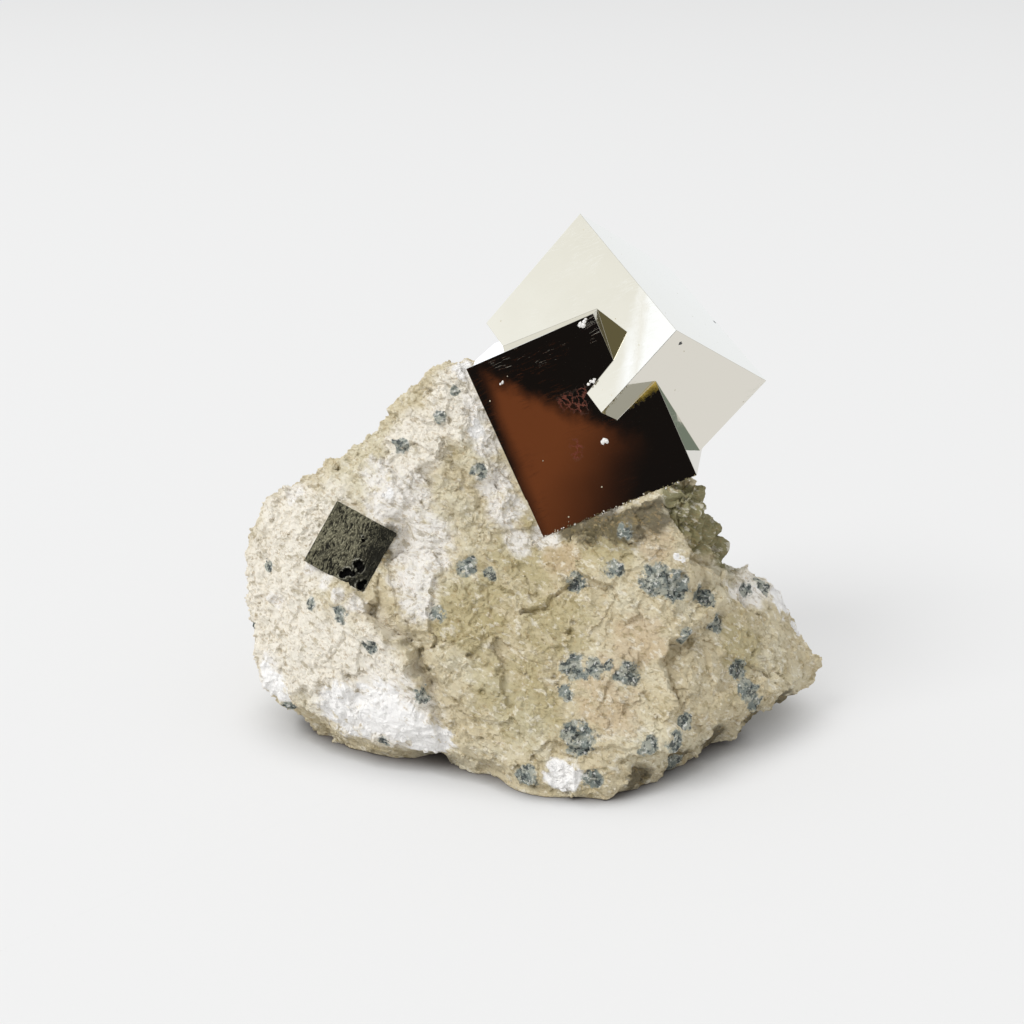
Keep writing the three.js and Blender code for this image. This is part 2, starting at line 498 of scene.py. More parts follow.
@dataclass(frozen=True)
class PolishedPyrite:
    """Pyrite with natural mirror faces: a pale brass reflection, crisp as glass, with dust and scratches."""

    reflection: str = "CBC6B7"
    roughness: float = 0.025
    dirt: str = "B7AE93"
    # A painted dark reflection on the dark cube's upper side face.
    painted_dark_reflection: str = "89815F"
    brassy: str = "C9AE55"
    etched: str = "BC7C6A"
    nick_shade: str = "3A3936"
    # Etched places on the dark cube's front as (across, up, radius, how strong).
    etchings: tuple[tuple[float, float, float, float], ...] = (
        (10.1, 14.9, 1.5, 0.20), (11.4, 14.0, 1.5, 0.22), (12.3, 15.2, 1.2, 0.20), (8.9, 9.3, 1.0, 0.17),
        (8.5, 8.3, 0.9, 0.15),
    )
    # Nicks in the pale crystal, in its own coordinates, with their radius.
    nicks: tuple[tuple[float, float, float, float], ...] = ((24.8, 2.3, -1.2, 0.26), (12.6, 20.4, 0.0, 0.30))

    def build(self) -> bpy.types.Material:
        """Builds the mirror crystals' material.

        Returns:
            The material.
        """
        material, tree = new_material("polished_pyrite")
        place = object_millimetres(tree)
        on_dark = DARK_CUBE.mapping(tree, place)
        on_pale = PALE_CRYSTAL.mapping(tree, place)
        scratches = self.scratches(tree, on_dark)
        dirt = self.seam_dirt(tree, on_pale)
        dust = self.dust(tree, place)
        unpolished = add_node(tree, "Math", {"operation": "MAXIMUM"}, n0=dirt, n1=dust).outputs[0]
        # The dark cube's upper side face is darkened: a painted dark reflection.
        reflection_darkened = add_node(tree, "Attribute", {"attribute_name": "painted_dark_reflection"}).outputs["Fac"]
        colour = linear(self.reflection)
        layers = (
            (reflection_darkened, self.painted_dark_reflection), (unpolished, self.dirt), (self.brass_patch(tree, on_dark), self.brassy),
            (self.etching(tree, on_dark), self.etched), (self.painted_nick_shade(tree, on_pale), self.nick_shade),
        )
        # Past the first two, a colour is full even where its mask is weak.
        for number, (mask, shade) in enumerate(layers):
            cover = mask if number < 2 else add_node(tree, "MapRange", Value=mask, From_Max=0.1).outputs[0]
            colour = add_node(
                tree, "Mix", {"data_type": "RGBA"}, n0=cover, n6=colour, n7=linear(shade)
            ).outputs[2]
        # The nicks' painted shade joins the dull, non-metal places here.
        for mask, _ in layers[2:]:
            unpolished = add_node(tree, "Math", {"operation": "MAXIMUM"}, n0=unpolished, n1=mask).outputs[0]
        metal = add_node(tree, "Math", {"operation": "SUBTRACT"}, n0=1.0, n1=unpolished).outputs[0]
        worn = add_node(tree, "Math", {"operation": "MAXIMUM"}, n0=scratches, n1=unpolished).outputs[0]
        rough = add_node(tree, "MapRange", Value=worn, To_Min=self.roughness, To_Max=0.6).outputs[0]
        ripple = add_node(tree, "TexNoise", Vector=place, Scale=1 / 7.0, Detail=1.0)
        soft = add_node(tree, "Bump", Height=ripple.outputs["Fac"], Distance=0.02 * MM, Strength=1.0)
        normal = add_node(
            tree, "Bump",
            Height=scratches, Distance=0.01 * MM, Strength=1.0, Normal=soft.outputs[0],
        )
        shader = add_node(
            tree, "BsdfPrincipled",
            Base_Color=colour, Metallic=metal, Roughness=rough, Normal=normal.outputs[0],
        )
        add_node(tree, "OutputMaterial", Surface=shader.outputs[0])
        return material

    @staticmethod
    def brass_patch(tree: Tree, local: Socket) -> Socket:
        """The dull brass-yellow wedge on the dark cube's front, below its growth step.

        Args:
            tree: The material's node tree.
            local: The dark cube's own coordinates.

        Returns:
            The socket with the patch, from 0 to 1.
        """
        across, _, up = add_node(tree, "SeparateXYZ", Vector=local).outputs
        cloud = add_node(tree, "TexNoise", Vector=local, Scale=1 / 0.9, Detail=5.0, Roughness=0.7)
        leaning = add_node(
            tree, "Math", {"operation": "MULTIPLY_ADD"}, n0=across, n1=-0.2, n2=up
        ).outputs[0]
        wobbly = add_node(
            tree, "Math", {"operation": "MULTIPLY_ADD"}, n0=cloud.outputs["Fac"], n1=2.2, n2=leaning
        ).outputs[0]
        high = add_node(tree, "MapRange", Value=wobbly, From_Min=8.6, From_Max=10.2).outputs[0]
        step = add_node(tree, "Math", {"operation": "LESS_THAN"}, n0=up, n1=14.5).outputs[0]
        reach = add_node(tree, "MapRange", Value=across, From_Min=15.5, From_Max=18.8, To_Max=0.9).outputs[0]
        right = add_node(tree, "Math", {"operation": "MULTIPLY"}, n0=reach, n1=step).outputs[0]
        front = add_node(tree, "Attribute", {"attribute_name": "dark_front"}).outputs["Fac"]
        corner = add_node(tree, "Math", {"operation": "MULTIPLY"}, n0=high, n1=right).outputs[0]
        return add_node(tree, "Math", {"operation": "MULTIPLY"}, n0=corner, n1=front).outputs[0]

    def etching(self, tree: Tree, local: Socket) -> Socket:
        """Crackled pinkish lines where the dark cube's front is etched.

        Args:
            tree: The material's node tree.
            local: The dark cube's own coordinates.

        Returns:
            The socket with the lines, from 0 to 1.
        """
        shift = add_node(tree, "TexNoise", Vector=local, Scale=1 / 0.8, Detail=4.0, Roughness=0.7)
        moved = add_node(
            tree, "VectorMath", {"operation": "MULTIPLY_ADD"},
            n0=shift.outputs["Color"], n1=(1.2, 1.2, 1.2), n2=local,
        ).outputs[0]
        cracks = add_node(
            tree, "TexVoronoi", {"feature": "DISTANCE_TO_EDGE"}, Vector=moved, Scale=1 / 0.9
        ).outputs["Distance"]
        line = add_node(tree, "MapRange", Value=cracks, From_Min=0.10, From_Max=0.02).outputs[0]
        total = None
        for across, up, radius, share in self.etchings:
            apart = add_node(
                tree, "VectorMath", {"operation": "DISTANCE"}, n0=moved, n1=(across + 0.6, 0.6, up + 0.6)
            ).outputs["Value"]
            near = add_node(
                tree, "MapRange", Value=apart, From_Min=radius, From_Max=0.5 * radius, To_Max=share
            ).outputs[0]
            total = near if total is None else add_node(
                tree, "Math", {"operation": "MAXIMUM"}, n0=total, n1=near
            ).outputs[0]
        lines = add_node(tree, "Math", {"operation": "MULTIPLY"}, n0=total, n1=line).outputs[0]
        front = add_node(tree, "Attribute", {"attribute_name": "dark_front"}).outputs["Fac"]
        return add_node(tree, "Math", {"operation": "MULTIPLY"}, n0=lines, n1=front).outputs[0]

    def painted_nick_shade(self, tree: Tree, local: Socket) -> Socket:
        """Painted shade of small nicks in the pale crystal: dark spots, with no dent in the mesh.

        Args:
            tree: The material's node tree.
            local: The pale crystal's own coordinates.

        Returns:
            The socket with the nicks, from 0 to 1.
        """
        shift = add_node(tree, "TexNoise", Vector=local, Scale=1 / 0.3, Detail=2.0)
        moved = add_node(
            tree, "VectorMath", {"operation": "MULTIPLY_ADD"},
            n0=shift.outputs["Color"], n1=(0.5, 0.5, 0.5), n2=local,
        ).outputs[0]
        total = None
        for x, y, z, radius in self.nicks:
            apart = add_node(
                tree, "VectorMath", {"operation": "DISTANCE"}, n0=moved, n1=(x + 0.25, y + 0.25, z + 0.25)
            ).outputs["Value"]
            near = add_node(
                tree, "MapRange", Value=apart, From_Min=radius, From_Max=0.7 * radius, To_Max=0.8
            ).outputs[0]
            total = near if total is None else add_node(
                tree, "Math", {"operation": "MAXIMUM"}, n0=total, n1=near
            ).outputs[0]
        return total

    @staticmethod
    def scratches(tree: Tree, local: Socket) -> Socket:
        """Hairline scratches in three directions, thick in some places and missing in others.

        Args:
            tree: The material's node tree.
            local: The crystal's own coordinates.

        Returns:
            The socket with the scratches, from 0 to 1.
        """
        total = None
        sway = add_node(tree, "TexNoise", Vector=local, Scale=1 / 3.0, Detail=1.0)
        curved = add_node(
            tree, "VectorMath", {"operation": "MULTIPLY_ADD"},
            n0=sway.outputs["Color"], n1=(0.9, 0.9, 0.9), n2=local,
        ).outputs[0]
        families = ((0.42, 3.8, 0.045, 0.66), (-0.5, 2.6, 0.04, 0.68), (1.2, 3.0, 0.045, 0.70))
        for turn, length, width, low in families:
            turned = add_node(
                tree, "Mapping",
                Vector=curved, Rotation=(0, turn, 0), Scale=(1 / length, 1 / length, 1 / width),
            )
            lines = add_node(tree, "TexNoise", Vector=turned.outputs[0], Scale=1.0, Detail=1.0)
            thin = add_node(
                tree, "MapRange", Value=lines.outputs["Fac"], From_Min=low, From_Max=low + 0.05
            ).outputs[0]
            total = thin if total is None else add_node(
                tree, "Math", {"operation": "MAXIMUM"}, n0=total, n1=thin
            ).outputs[0]
        where = add_node(tree, "TexNoise", Vector=local, Scale=1 / 4.0, Detail=2.0)
        up = add_node(tree, "SeparateXYZ", Vector=local).outputs[2]
        high = add_node(
            tree, "MapRange", Value=up, From_Min=15.0, From_Max=21.5, To_Min=0.03, To_Max=0.15
        ).outputs[0]
        patch = add_node(
            tree, "MapRange", Value=where.outputs["Fac"], From_Min=0.42, From_Max=0.62, To_Max=high
        ).outputs[0]
        return add_node(tree, "Math", {"operation": "MULTIPLY"}, n0=total, n1=patch).outputs[0]

    @staticmethod
    def seam_dirt(tree: Tree, local: Socket) -> Socket:
        """Clay caught along the seam that crosses the pale crystal's long face.

        Args:
            tree: The material's node tree.
            local: The pale crystal's own coordinates.

        Returns:
            The socket with the dirt, from 0 to 1.
        """
        start, across = 16.9, (0.689, 0.725)
        shaken = add_node(tree, "TexNoise", Vector=local, Scale=1 / 1.6, Detail=5.0, Roughness=0.7)
        parts = add_node(tree, "SeparateXYZ", Vector=local).outputs
        along_x = add_node(
            tree, "Math", {"operation": "MULTIPLY_ADD"}, n0=parts[0], n1=across[0], n2=-start * across[0]
        ).outputs[0]
        distance = add_node(
            tree, "Math", {"operation": "MULTIPLY_ADD"}, n0=parts[2], n1=across[1], n2=along_x
        ).outputs[0]
        wobbly = add_node(
            tree, "Math", {"operation": "MULTIPLY_ADD"}, n0=shaken.outputs["Fac"], n1=2.4, n2=distance
        ).outputs[0]
        centred = add_node(tree, "Math", {"operation": "SUBTRACT"}, n0=wobbly, n1=1.2).outputs[0]
        apart = add_node(tree, "Math", {"operation": "ABSOLUTE"}, n0=centred).outputs[0]
        near = add_node(tree, "MapRange", Value=apart, From_Min=1.1, From_Max=0.05, To_Max=0.16).outputs[0]
        on_face = add_node(tree, "Math", {"operation": "LESS_THAN"}, n0=parts[1], n1=0.1).outputs[0]
        return add_node(tree, "Math", {"operation": "MULTIPLY"}, n0=near, n1=on_face).outputs[0]

    @staticmethod
    def dust(tree: Tree, place: Socket) -> Socket:
        """Scattered specks of marl dust about a tenth of a millimetre across.

        Args:
            tree: The material's node tree.
            place: Object coordinates in millimetres.

        Returns:
            The socket with the specks, from 0 to 1.
        """
        cells = add_node(tree, "TexVoronoi", Vector=place, Scale=1 / 1.5)
        chosen = add_node(
            tree, "Math", {"operation": "GREATER_THAN"}, n0=cells.outputs["Color"], n1=0.70
        ).outputs[0]
        speck = add_node(
            tree, "MapRange", Value=cells.outputs["Distance"], From_Min=0.075, From_Max=0.05
        ).outputs[0]
        return add_node(tree, "Math", {"operation": "MULTIPLY"}, n0=speck, n1=chosen).outputs[0]


@dataclass(frozen=True)
class StriatedPyrite:
    """Pyrite dulled by weathering: dark olive brass, striated, that glints where its ridges are rubbed, with
    painted shade towards the cube's right side.
    """

    rubbed: str = "76725D"
    dull: str = "1F1E17"
    pit: str = "0B0A08"
    rim: str = "B9B6A6"

    def build(self) -> bpy.types.Material:
        """Builds the small cube's material.

        Returns:
            The material.
        """
        material, tree = new_material("striated_pyrite")
        place = object_millimetres(tree)
        # The ridge attribute holds the striations' brightness less painted shade towards the cube's right
        # side.
        ridge_and_shade = add_node(tree, "Attribute", {"attribute_name": "ridge_and_shade"}).outputs["Fac"]
        pit = add_node(tree, "Attribute", {"attribute_name": "pit"}).outputs["Fac"]
        rim = add_node(tree, "Attribute", {"attribute_name": "rim"}).outputs["Fac"]
        cloud = add_node(tree, "TexNoise", Vector=place, Scale=1 / 2.2, Detail=5.0, Roughness=0.7)
        level = add_node(
            tree, "Math", {"operation": "MULTIPLY_ADD"}, n0=cloud.outputs["Fac"], n1=1.1, n2=ridge_and_shade
        ).outputs[0]
        bright = add_node(tree, "MapRange", Value=level, From_Min=0.55, From_Max=1.35).outputs[0]
        colour = add_node(
            tree, "Mix", {"data_type": "RGBA"}, n0=bright, n6=linear(self.dull), n7=linear(self.rubbed)
        ).outputs[2]
        for mask, shade in ((pit, self.pit), (rim, self.rim)):
            colour = add_node(
                tree, "Mix", {"data_type": "RGBA"}, n0=mask, n6=colour, n7=linear(shade)
            ).outputs[2]
        rough = add_node(tree, "MapRange", Value=bright, To_Min=0.60, To_Max=0.36).outputs[0]
        grit = add_node(tree, "TexNoise", Vector=place, Scale=1 / 0.35, Detail=3.0, Roughness=0.7)
        normal = add_node(tree, "Bump", Height=grit.outputs["Fac"], Distance=0.07 * MM, Strength=1.0)
        shader = add_node(
            tree, "BsdfPrincipled",
            Base_Color=colour, Metallic=0.85, Roughness=rough, Normal=normal.outputs[0],
        )
        add_node(tree, "OutputMaterial", Surface=shader.outputs[0])
        return material


# ---------------------------------------------------------------------------------------------
# The stone
# ---------------------------------------------------------------------------------------------


# Each kind of mark is a field of Marks and an attribute of the stone.
MARK_NAMES = ("spots", "crust", "dust", "ochre", "olive", "pale", "damp", "knobs")


@dataclass(frozen=True)
class Marks:
    """Where the stone's stains and painted shade lie, given on its front as (across, up, radius) in
    millimetres.
    """

    spots: tuple[tuple[float, float, float], ...] = (
        (-17, 39, 1.2), (-12, 42.5, 1.0), (-10, 45.5, 0.7), (-7, 36, 1.2), (-8.5, 25, 1.5),
        (-5.5, 24, 1.0), (-34.5, 22.5, 0.9), (-12, 20, 1.2), (-24.5, 19.5, 1.3), (-28.5, 20, 1.0),
        (-20.5, 16.5, 1.1), (-37, 13.5, 0.8), (-14, 11, 1.4), (-19, 3.5, 1.0), (-1, 2.5, 1.7),
        (-32, 5, 1.1), (5.5, 23.5, 1.5), (10, 26, 1.4), (15, 25, 2.2), (17.5, 23.8, 2.2),
        (21.5, 21.5, 1.7), (23, 18, 1.4), (19, 18, 1.4), (4.8, 15, 1.8), (7.2, 14.8, 1.7),
        (9.2, 15.6, 1.0), (11.5, 14.5, 1.8), (4, 12.5, 1.1), (5.5, 7.5, 2.3), (14, 7, 1.5),
        (17.6, 7, 1.6), (18.6, 9, 1.2), (17.5, 1.5, 1.7), (7, 3, 1.4), (26, 12, 1.5), (27.5, 9.5, 1.8),
        (28.5, 7.5, 1.4), (30.5, 18.5, 1.5), (28.2, 18.9, 1.1), (11.2, 30.4, 1.3),
    )
    crust: tuple[tuple[float, float, float], ...] = (
        (-24, 6.5, 4.2), (-20, 8.5, 3.8), (-17, 7, 3.4), (-13, 4.5, 3.2), (-33.5, 7.5, 2.4),
        (-35.5, 10, 1.5), (3.5, 3, 2.4), (17.8, 27.4, 0.5), (18.7, 26.9, 0.4), (34, 16, 2.6),
        (35.5, 11.5, 1.2), (-7.5, 41, 1.3), (-9, 47.5, 1.5), (-18.5, 33.5, 0.8),
    )
    dust: tuple[tuple[float, float, float], ...] = (
        (-17.5, 32.5, 4.6), (-14.5, 27.5, 4.4), (-15, 24, 3.2), (-20, 35, 2.6), (-18, 8, 6.0),
        (-7, 43.5, 2.4), (-8, 47.5, 2.2), (-6, 39, 2.0), (-28.5, 24, 1.1), (-26.5, 23, 1.1),
        (-24.6, 22.1, 1.1), (-22.8, 21.3, 1.2), (-21.6, 20.8, 1.0), (-3.5, 31, 2.4), (-31, 31, 1.4),
        (-2, 27, 2.0), (-5, 34.5, 2.4), (1.5, 27, 2.2), (33, 17, 2.6), (-35, 10, 2.4), (-33, 19, 1.4),
        (-17, 33, 3.0), (-13.5, 26.5, 3.0), (-14.5, 21, 2.4), (-9.5, 49, 2.0), (9.8, 31.4, 1.6),
        (28.5, 18.6, 2.4), (26, 19.8, 1.6),
    )
    ochre: tuple[tuple[float, float, float], ...] = (
        (8.5, 13, 5.0), (10.5, 10, 3.4), (3.5, 26, 3.2), (13, 18, 4.4), (15, 29, 3.0),
    )
    olive: tuple[tuple[float, float, float], ...] = (
        (-0.5, 25.5, 7.0), (-8, 21, 7.6), (3, 20, 6.0), (-2, 11.5, 7.5), (26.5, 14.5, 4.8),
        (8.5, 28.5, 5.0),
    )
    pale: tuple[tuple[float, float, float], ...] = (
        (-30, 27, 7.5), (-33, 14, 8.0), (-24, 12, 8.0), (-9, 44, 4.5), (30, 20, 4.0), (-34, 21, 7.0),
        (-15.5, 39.5, 4.0),
    )
    # Painted shade: under the dark cube's lower edge, right of the small cube, along the foot's underside and
    # under a ledge.
    damp: tuple[tuple[float, float, float], ...] = (
        (11.5, 31.4, 3.2), (14.5, 32.4, 2.6), (8, 30.2, 3.2), (4.5, 28.8, 1.8), (-18.9, 26.3, 1.3),
        (-18.2, 28.6, 1.1), (13, 2.0, 2.0), (18, 2.0, 2.2), (23, 2.5, 2.2), (28, 3.2, 2.2),
        (33, 4.0, 2.0), (-13.4, 14.2, 0.5),
    )
    knobs: tuple[tuple[float, float, float], ...] = (
        (21.5, 31.3, 3.4), (24, 27.4, 3.6), (26, 24, 2.8), (19.0, 33.4, 2.6), (27, 29, 5.0),
        (21.6, 28.8, 3.0), (18.9, 31.0, 1.8),
    )
    strewn_spots: int = 42
    strewn_crusts: int = 16

    def lay(self, piece: Piece, stone: BVHTree, behind: Array) -> None:
        """Stores each kind of mark as an attribute: 1 at a mark's middle and 0 past its rim.

        Args:
            piece: The stone, or grains that lie on it.
            stone: The stone's surface, which marks on the front are dropped onto.
            behind: Places on the sides and back for strewn marks.
        """
        points = points_of(piece)
        dice = np.random.default_rng(12)
        far = behind[dice.permutation(len(behind))]
        spots, crusts = far[:self.strewn_spots], far[self.strewn_spots:][:self.strewn_crusts]
        extra = {
            "spots": [(*place, radius) for place, radius in zip(spots, dice.uniform(0.6, 2.2, len(spots)))],
            "crust": [(*place, radius) for place, radius in zip(crusts, dice.uniform(1.0, 3.2, len(crusts)))],
            "dust": [(*place, radius) for place, radius in zip(crusts, dice.uniform(2.0, 5.0, len(crusts)))],
        }
        for name in MARK_NAMES:
            strength = np.zeros(len(points))
            placed = [self.dropped(stone, mark) for mark in getattr(self, name)] + extra.get(name, [])
            for x, y, z, radius in placed:
                distance = np.linalg.norm(points - np.array((x, y, z)), axis=1) / radius
                strength = np.maximum(strength, 1.0 - smoothstep(0.1, 1.7, distance))
            store(piece, name, strength)

    @staticmethod
    def dropped(stone: BVHTree, mark: tuple[float, float, float]) -> tuple[float, float, float, float]:
        """Drops a mark onto the stone from the front.

        Args:
            stone: The stone's surface.
            mark: The mark's place across and up, and its radius.

        Returns:
            The mark's place on the stone, and its radius.
        """
        x, z, radius = mark
        hit = stone.ray_cast(Vector((x, -80, z)) * MM, Vector((0, 1, 0)))[0]
        depth = hit.y / MM if hit else 0.0
        return x, depth, z, radius


@dataclass(frozen=True)
class Ledge:
    """A step in the stone's front along a line of points across and up, in millimetres.

    Along the line's way the stone is proud on the right-hand side and deep on the left-hand one.
    """

    line: tuple[tuple[float, float], ...]
    proud: float
    deep: float
    width: float

    def relief(self, points: Array, jitter: Array) -> Array:
        """How far the ledge lifts or lowers the front.

        Args:
            points: Places in millimetres.
            jitter: Moves the line to and fro, so that it is ragged.

        Returns:
            Heights in millimetres, which fade out at the line's ends.
        """
        side, distance = self.beside(points)
        side = side + jitter
        raised = self.proud * smoothstep(-0.05, -0.5, side) * np.exp(-distance / self.width)
        lowered = self.deep * smoothstep(-0.1, 0.35, side) * np.exp(-distance / (0.7 * self.width))
        first, last = self.line[0], self.line[-1]
        ends = np.minimum(*(np.hypot(points[:, 0] - x, points[:, 2] - z) for x, z in (first, last)))
        return (raised - lowered) * smoothstep(0.0, 2.5, ends)

    def beside(self, points: Array) -> tuple[Array, Array]:
        """On which side of the line places are, and how far from it.

        Args:
            points: Places in millimetres.

        Returns:
            The distance with a sign, positive on the left of the line's way, and without one.
        """
        flat = points[:, [0, 2]]
        best = np.full(len(flat), 1e9)
        signed = np.full(len(flat), 1e9)
        for start, end in zip(self.line, self.line[1:]):
            way = np.array(end, float) - np.array(start, float)
            from_start = flat - np.array(start, float)
            share = np.clip(from_start @ way / (way @ way), 0.0, 1.0)
            off = from_start - share[:, None] * way
            distance = np.linalg.norm(off, axis=1)
            side = np.sign(way[0] * off[:, 1] - way[1] * off[:, 0])
            closer = distance < best
            signed[closer] = (distance * side)[closer]
            best = np.minimum(best, distance)
        return signed, best


@dataclass
class MarlMatrix:
    """The broken block of marl: hackly facets, ledges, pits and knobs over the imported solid."""

    voxel: float = 0.30
    soften: int = 7
    most_triangles: int = 196000
    # The foot is drawn in below a height that rises to the right and at the cut-away left end.
    foot_height: float = 2.8
    foot_rise_right: float = 3.8
    foot_rise_left: float = 5.0
    foot_draw: float = 0.055
    # Places along the block as (across, reach): waists are drawn in more, the toe and the heel stay out.
    waists: tuple[tuple[float, float], ...] = ((28.0, 4.5), (-13.0, 3.5))
    toe: tuple[float, float] = (0.5, 5.5)
    toe_reach: float = 3.0
    heel: tuple[float, float] = (5.0, 9.0)
    tip_hang: float = 1.9
    contact: float = 0.55
    overlap: float = 0.12
    marks: Marks = field(default_factory=Marks)
    # Facets of the break: (size of one facet, how proud or tilted it is).
    facets: tuple[tuple[float, float], ...] = ((9.0, 1.35), (4.2, 0.75), (1.9, 0.30))
    # The left shoulder's edge, the step over the right-hand shelf, the knobs' border, a low step and the rim.
    ledges: tuple[Ledge, ...] = (
        Ledge(
            (
                (-22, 24), (-20.4, 19.4), (-18, 18.4), (-14.6, 16.9), (-15.6, 14.4), (-13.6, 12.1),
                (-13.1, 9.5),
            ),
            proud=1.9, deep=2.2, width=2.6,
        ),
        Ledge(
            ((25.9, 19.6), (20.8, 18.3), (17.2, 17.5), (15.7, 15.9), (17.5, 11.9), (18.7, 9.3)),
            proud=1.4, deep=1.8, width=3.2,
        ),
        Ledge(
            ((15.5, 35), (17, 32.6), (19, 29.7), (20.1, 26.6), (22.5, 23.2), (26.2, 20.1)),
            proud=1.0, deep=2.2, width=4.0,
        ),
        Ledge(((-5, 6), (-2.5, 11.5), (-0.5, 16)), proud=0.3, deep=0.5, width=1.4),
        Ledge(((37.6, 9.4), (28.7, 6.4), (19.1, 6.7), (9.4, 4.9)), proud=1.1, deep=0.4, width=2.4),
    )
    # The weathered patch of knobs lies beyond one of the ledges.
    knobs_border: int = 2
    knobs_middle: tuple[float, float, float] = (25.0, -5.0, 29.0)
    knobs_reach: tuple[float, float] = (7.0, 10.0)
    knob_size: float = 3.2
    knob_height: float = 2.9
    knob_sink: float = 1.3
    # Hollows as (x, y, z, radius, depth): one bares the small cube's lower corner.
    hollows: tuple[tuple[float, float, float, float, float], ...] = (
        (-21.2, -13.0, 21.0, 3.6, 1.5), (-17.0, -9.5, 29.0, 3.4, 0.9), (15.5, -16.0, 30.0, 4.0, 0.5),
    )

    def build(self) -> Piece:
        """Builds the stone.

        Returns:
            The finished stone.
        """
        stone = copy_of(Node.STONE, "broken_marl")
        apply_modifier(stone, "REMESH", mode="VOXEL", voxel_size=self.voxel * MM)
        crystals = self.crystal_surface()
        clear = self.clearance(points_of(stone), crystals)[0]
        self.soften_facets(stone, clear)
        points, normals = points_of(stone), normals_of(stone)
        height, fine = self.heights(points, normals)
        # The relief fades out towards the crystals' sockets and the cut underside.
        open_face = smoothstep(0.4, 1.1, clear) * 0.6 + 0.4 * smoothstep(0.34, 0.6, clear)
        above_base = smoothstep(0.05, 0.6, points[:, 2])
        points = points + normals * (height * open_face * above_base)[:, None]
        points = self.undercut(points)
        points = self.close_onto(points, crystals)
        move_points(stone, points)
        store(stone, "height", fine)
        self.thin_out(stone)
        self.paint(stone)
        stone.data.materials.append(BrokenMarl().build())
        hand_over(stone, Slot.MARL, Node.STONE)
        return stone

    @staticmethod
    def crystal_surface() -> BVHTree:
        """The surface of all the crystals, for finding what is near it."""
        corners, faces = [], []
        for node in (Node.CRYSTALS, Node.SMALL_CUBE):
            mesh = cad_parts[node.value].data
            first = len(corners)
            corners += [vertex.co.copy() for vertex in mesh.vertices]
            faces += [[first + index for index in polygon.vertices] for polygon in mesh.polygons]
        return BVHTree.FromPolygons(corners, faces)

    @staticmethod
    def clearance(points: Array, crystals: BVHTree) -> tuple[Array, Array, Array]:
        """How far points are from the crystals.

        Args:
            points: Places in millimetres.
            crystals: The crystals' surface.

        Returns:
            The distances, the nearest places on the crystals, and the crystals' normals there.
        """
        distances = np.full(len(points), 9.0)
        nearest, normals = np.zeros_like(points), np.zeros_like(points)
        for i, point in enumerate(points * MM):
            spot, normal, _, distance = crystals.find_nearest(point, 2.0 * MM)
            if spot is not None:
                distances[i] = distance / MM
                nearest[i], normals[i] = spot / MM, normal
        return distances, nearest, normals

    def soften_facets(self, stone: Piece, clear: Array) -> None:
        """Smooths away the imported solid's flat triangles, but keeps the crystals' sockets crisp.

        Args:
            stone: The stone.
            clear: Each vertex's distance from the crystals.
        """
        group = stone.vertex_groups.new(name="open")
        weights = smoothstep(0.4, 1.8, clear)
        steps = 10
        for step in range(1, steps + 1):
            chosen = np.nonzero(np.round(weights * steps) == step)[0]
            group.add(chosen.tolist(), step / steps, "REPLACE")
        apply_modifier(stone, "SMOOTH", factor=0.5, iterations=self.soften, vertex_group="open")
        stone.vertex_groups.clear()

    def undercut(self, points: Array) -> Array:
        """Draws the foot of the block in, unevenly, so that its rim hangs a little over the surface below.

        Args:
            points: The vertices, in millimetres.

        Returns:
            The moved vertices.
        """
        moved = points.copy()
        moved[:, 2] = np.maximum(moved[:, 2], 0.0)
        across = moved[:, 0]
        left_end = smoothstep(-24.0, -34.0, across)
        foot = self.foot_height + self.foot_rise_right * smoothstep(5.0, 20.0, across)
        foot = foot + self.foot_rise_left * left_end
        waist = sum(hump(across, *place) for place in self.waists)
        toe = hump(across, *self.toe) * smoothstep(8.0, 0.0, moved[:, 2])
        moved[:, 1] -= self.toe_reach * toe * smoothstep(-8.0, -16.0, moved[:, 1])
        # The right-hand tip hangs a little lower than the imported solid's.
        moved[:, 2] -= self.tip_hang * smoothstep(31.0, 37.0, across) * smoothstep(3.0, 8.0, moved[:, 2])
        heel = hump(across, *self.heel) * (moved[:, 1] < 0.0)
        drawn = self.foot_draw * (1.0 + 4.5 * left_end + 2.0 * waist) * (1.0 - 0.9 * heel)
        for i in np.nonzero(moved[:, 2] < foot)[0]:
            x, y, z = moved[i]
            angle = math.atan2(y, x)
            ring = Vector((math.cos(angle), math.sin(angle), 0.0))
            uneven = 1.3 * noise.fractal(ring * 3.1, 0.7, 2.2, 6) + 0.5
            moved[i, :2] *= 1.0 - drawn[i] * (1.0 - z / foot[i]) * max(0.12, uneven)
        return moved

    def heights(self, points: Array, normals: Array) -> tuple[Array, Array]:
        """How far each vertex stands out from the softened block.

        Args:
            points: The vertices, in millimetres.
            normals: Their normals.

        Returns:
            The heights in millimetres, and the part of them that is fine relief.
        """
        shaken = self.shaken(points, 2.2, 1.0)
        layers = [
            self.faceted(shaken / size, number) * tall for number, (size, tall) in enumerate(self.facets)
        ]
        hackly = 0.55 + 0.65 * smoothstep(-0.35, 0.45, self.cloud(points, 7.0, 2.0))
        fine = hackly * (layers[2] + self.rubble(shaken)) - self.pits(points)
        total = layers[0] + layers[1] + fine
        front = smoothstep(0.0, -6.0, points[:, 1]) * smoothstep(0.2, -0.1, normals[:, 1])
        jitter = self.cloud(points, 1.6, 5.0) * 0.9
        for ledge in self.ledges:
            total += ledge.relief(points, jitter) * front
        for x, y, z, radius, depth in self.hollows:
            distance = np.linalg.norm(points - np.array((x, y, z)), axis=1)
            total -= depth * (1.0 - smoothstep(0.25, 1.0, distance / radius))
        return total + self.knobs(points), fine

